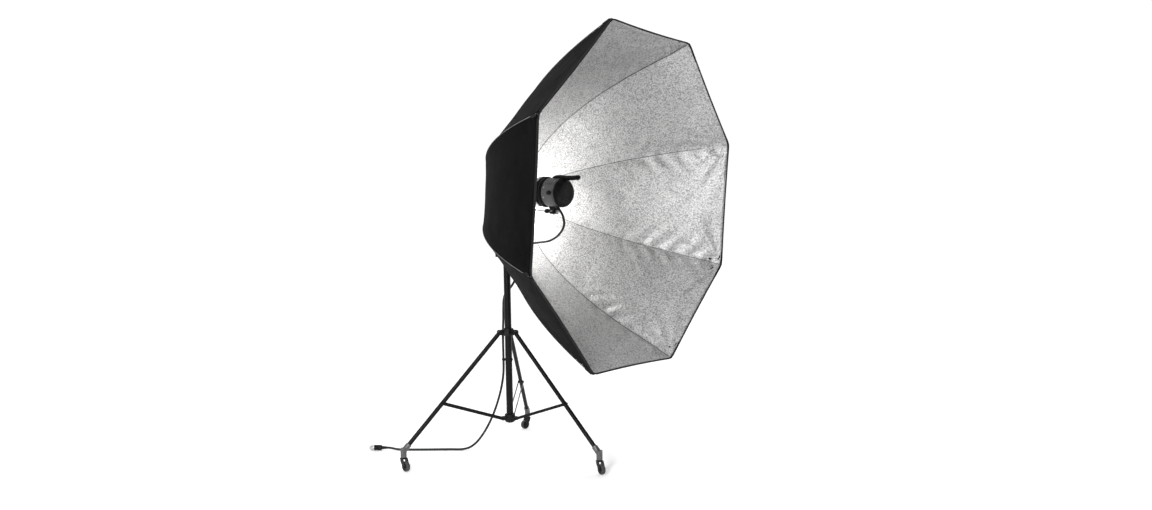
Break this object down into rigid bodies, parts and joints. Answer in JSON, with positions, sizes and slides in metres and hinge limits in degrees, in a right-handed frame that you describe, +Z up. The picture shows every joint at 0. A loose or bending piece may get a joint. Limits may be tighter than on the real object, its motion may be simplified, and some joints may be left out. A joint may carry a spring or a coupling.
{
  "type": "studio softbox",
  "caption": "Large octagonal indirect studio softbox with a reversed flash head on a tilting bracket and a rolling light stand, with its lead.",
  "frame": {"origin": "on the floor under the middle of the bounding box, lead left out", "axes": "+Z up; the softbox opens towards +X and leans 3.27 degrees down; +Y to the right of someone looking into the column from behind the opening side"},
  "size_m": [1.58, 1.5212, 2.058],
  "materials": {
    "black_paint": "satin black powder coat",
    "satin_steel": "satin",
    "cast_grey": "cast, matt",
    "black_plastic": "fine texture",
    "grey_plastic": "light grey with a fine dark speckle",
    "wheel_grey": "grey tread",
    "black_cloth": "matt woven polyester",
    "silver_cloth": "pebbled silver, soft sheen",
    "rib_fibre": "pultruded glass fibre",
    "lead_rubber": "matt",
    "clear_glass": "clear",
    "lamp_glass": "warm frosted"
  },
  "bodies": {
    "column": {"column_tube": "black_paint", "foot_hub": "black_plastic", "column_clamp": "black_plastic", "lead_tie": "black_cloth", "lead_floor": "lead_rubber", "lead_plug": "black_plastic"},
    "column_knob": {"column_clamp_knob": "black_plastic"},
    "collar": {"leg_collar": "black_plastic"},
    "collar_screw": {"collar_knob": "black_plastic"},
    "leg_1": {"leg_tube_1": "black_paint", "caster_socket_1": "cast_grey"},
    "leg_2": {"leg_tube_2": "black_paint", "caster_socket_2": "cast_grey"},
    "leg_3": {"leg_tube_3": "black_paint", "caster_socket_3": "cast_grey"},
    "brace_1": {"brace_1": "black_paint"},
    "brace_2": {"brace_2": "black_paint"},
    "brace_3": {"brace_3": "black_paint"},
    "fork_1": {"caster_fork_1": "black_plastic"},
    "fork_2": {"caster_fork_2": "black_plastic"},
    "fork_3": {"caster_fork_3": "black_plastic"},
    "wheel_1": {"caster_wheel_1": "wheel_grey"},
    "wheel_2": {"caster_wheel_2": "wheel_grey"},
    "wheel_3": {"caster_wheel_3": "wheel_grey"},
    "riser": {"riser_tube": "black_paint", "lead_riser": "lead_rubber"},
    "bracket": {"swivel_socket": "black_paint", "lead_swivel": "lead_rubber"},
    "swivel_screw": {"swivel_knob": "black_plastic"},
    "lever": {"tilt_handle": "black_plastic"},
    "softbox": {"tilt_block": "black_paint", "head_bar": "satin_steel", "hub_core": "cast_grey", "hub_back_cap": "black_plastic", "rib_1": "rib_fibre", "rib_2": "rib_fibre", "rib_3": "rib_fibre", "rib_4": "rib_fibre", "rib_5": "rib_fibre", "rib_6": "rib_fibre", "rib_7": "rib_fibre", "rib_8": "rib_fibre", "outer_cover": "black_cloth", "silver_lining": "silver_cloth", "rim_hem": "black_cloth", "cable_port": "lead_rubber", "lead_port": "lead_rubber"},
    "head": {"front_housing": "grey_plastic", "mount_flange": "black_plastic", "rear_cover": "black_plastic", "grip_handle": "black_plastic", "head_clamp": "black_paint", "modelling_lamp": "lamp_glass", "flash_tube": "lamp_glass", "glass_dome": "clear_glass", "lead_gland": "lead_rubber", "lead_inner": "lead_rubber"},
    "head_screw": {"head_clamp_knob": "black_plastic"},
    "bayonet": {"bayonet_ring": "satin_steel"},
    "dial": {"power_dial": "black_plastic"}
  },
  "joints": [
    {"name": "column_knob_turn", "type": "hinge", "parent": "column", "child": "column_knob", "pos_m": [-0.28662, 0, 1.04], "axis": [-0.788, -0.6157, 0], "range_deg": [-360, 0]},
    {"name": "collar_slide", "type": "slide", "parent": "column", "child": "collar", "axis": [0, 0, 1], "range_m": [0, 0.17]},
    {"name": "collar_knob_turn", "type": "hinge", "parent": "collar", "child": "collar_screw", "pos_m": [-0.28662, 0, 0.642], "axis": [0.5373, -0.8434, 0], "range_deg": [-360, 0]},
    {"name": "leg_1_fold", "type": "hinge", "parent": "collar", "child": "leg_1", "pos_m": [-0.24066, 0.00201, 0.642], "axis": [-0.0436, 0.999, 0], "range_deg": [0, 11.67]},
    {"name": "leg_2_fold", "type": "hinge", "parent": "collar", "child": "leg_2", "pos_m": [-0.31134, 0.0388, 0.642], "axis": [-0.8434, -0.5373, 0], "range_deg": [0, 11.67]},
    {"name": "leg_3_fold", "type": "hinge", "parent": "collar", "child": "leg_3", "pos_m": [-0.30786, -0.0408, 0.642], "axis": [0.887, -0.4617, 0], "range_deg": [0, 11.67]},
    {"name": "brace_1_fold", "type": "hinge", "parent": "column", "child": "brace_1", "pos_m": [-0.24466, 0.00183, 0.199], "axis": [-0.0436, 0.999, 0], "range_deg": [-23.93, 0]},
    {"name": "brace_2_fold", "type": "hinge", "parent": "column", "child": "brace_2", "pos_m": [-0.30919, 0.03542, 0.199], "axis": [-0.8434, -0.5373, 0], "range_deg": [-23.93, 0]},
    {"name": "brace_3_fold", "type": "hinge", "parent": "column", "child": "brace_3", "pos_m": [-0.30601, -0.03725, 0.199], "axis": [0.887, -0.4617, 0], "range_deg": [-23.93, 0]},
    {"name": "fork_1_swivel", "type": "hinge", "parent": "leg_1", "child": "fork_1", "pos_m": [0.26785, 0.02421, 0.06], "axis": [0, 0, 1], "continuous": true},
    {"name": "fork_2_swivel", "type": "hinge", "parent": "leg_2", "child": "fork_2", "pos_m": [-0.58482, 0.46808, 0.06], "axis": [0, 0, 1], "continuous": true},
    {"name": "fork_3_swivel", "type": "hinge", "parent": "leg_3", "child": "fork_3", "pos_m": [-0.54289, -0.49229, 0.06], "axis": [0, 0, 1], "continuous": true},
    {"name": "wheel_1_spin", "type": "hinge", "parent": "fork_1", "child": "wheel_1", "pos_m": [0.28442, 0.01718, 0.025], "axis": [0.3907, 0.9205, 0], "continuous": true},
    {"name": "wheel_2_spin", "type": "hinge", "parent": "fork_2", "child": "wheel_2", "pos_m": [-0.58887, 0.45054, 0.025], "axis": [0.9744, -0.225, 0], "continuous": true},
    {"name": "wheel_3_spin", "type": "hinge", "parent": "fork_3", "child": "wheel_3", "pos_m": [-0.52507, -0.4948, 0.025], "axis": [0.1392, 0.9903, 0], "continuous": true},
    {"name": "riser_slide", "type": "slide", "parent": "column", "child": "riser", "axis": [0, 0, 1], "range_m": [-0.09, 0.35], "deforming": ["lead_riser", "lead_floor"]},
    {"name": "bracket_swivel", "type": "hinge", "parent": "riser", "child": "bracket", "pos_m": [-0.28662, 0, 1.188], "axis": [0, 0, 1], "range_deg": [-175, 175]},
    {"name": "swivel_knob_turn", "type": "hinge", "parent": "bracket", "child": "swivel_screw", "pos_m": [-0.28662, 0, 1.188], "axis": [-1, 0, 0], "range_deg": [-360, 0]},
    {"name": "tilt_lever_turn", "type": "hinge", "parent": "bracket", "child": "lever", "pos_m": [-0.28662, 0, 1.2424], "axis": [0, 1, 0], "range_deg": [-45, 45]},
    {"name": "softbox_tilt", "type": "hinge", "parent": "bracket", "child": "softbox", "pos_m": [-0.28662, 0, 1.2424], "axis": [0, 1, 0], "range_deg": [-60, 20], "deforming": ["lead_port", "lead_swivel"]},
    {"name": "head_slide", "type": "slide", "parent": "softbox", "child": "head", "axis": [0.9984, 0, -0.057], "range_m": [-0.07, 0], "deforming": ["lead_inner"]},
    {"name": "head_knob_turn", "type": "hinge", "parent": "head", "child": "head_screw", "pos_m": [0.0328, 0, 1.25821], "axis": [0, -1, 0], "range_deg": [-360, 0]},
    {"name": "bayonet_turn", "type": "hinge", "parent": "head", "child": "bayonet", "pos_m": [-0.04299, 0, 1.35168], "axis": [0.9984, 0, -0.057], "range_deg": [0, 25]},
    {"name": "power_dial_turn", "type": "hinge", "parent": "head", "child": "dial", "pos_m": [0.06384, 0, 1.34558], "axis": [0, -1, 0], "range_deg": [-135, 135]}
  ],
  "couplings": [
    {"joint": "leg_1_fold", "follows": "collar_slide", "rad_per_m": 1.1673},
    {"joint": "leg_2_fold", "follows": "collar_slide", "rad_per_m": 1.1673},
    {"joint": "leg_3_fold", "follows": "collar_slide", "rad_per_m": 1.1673},
    {"joint": "brace_1_fold", "follows": "collar_slide", "rad_per_m": -2.4261},
    {"joint": "brace_2_fold", "follows": "collar_slide", "rad_per_m": -2.4261},
    {"joint": "brace_3_fold", "follows": "collar_slide", "rad_per_m": -2.4261}
  ]
}
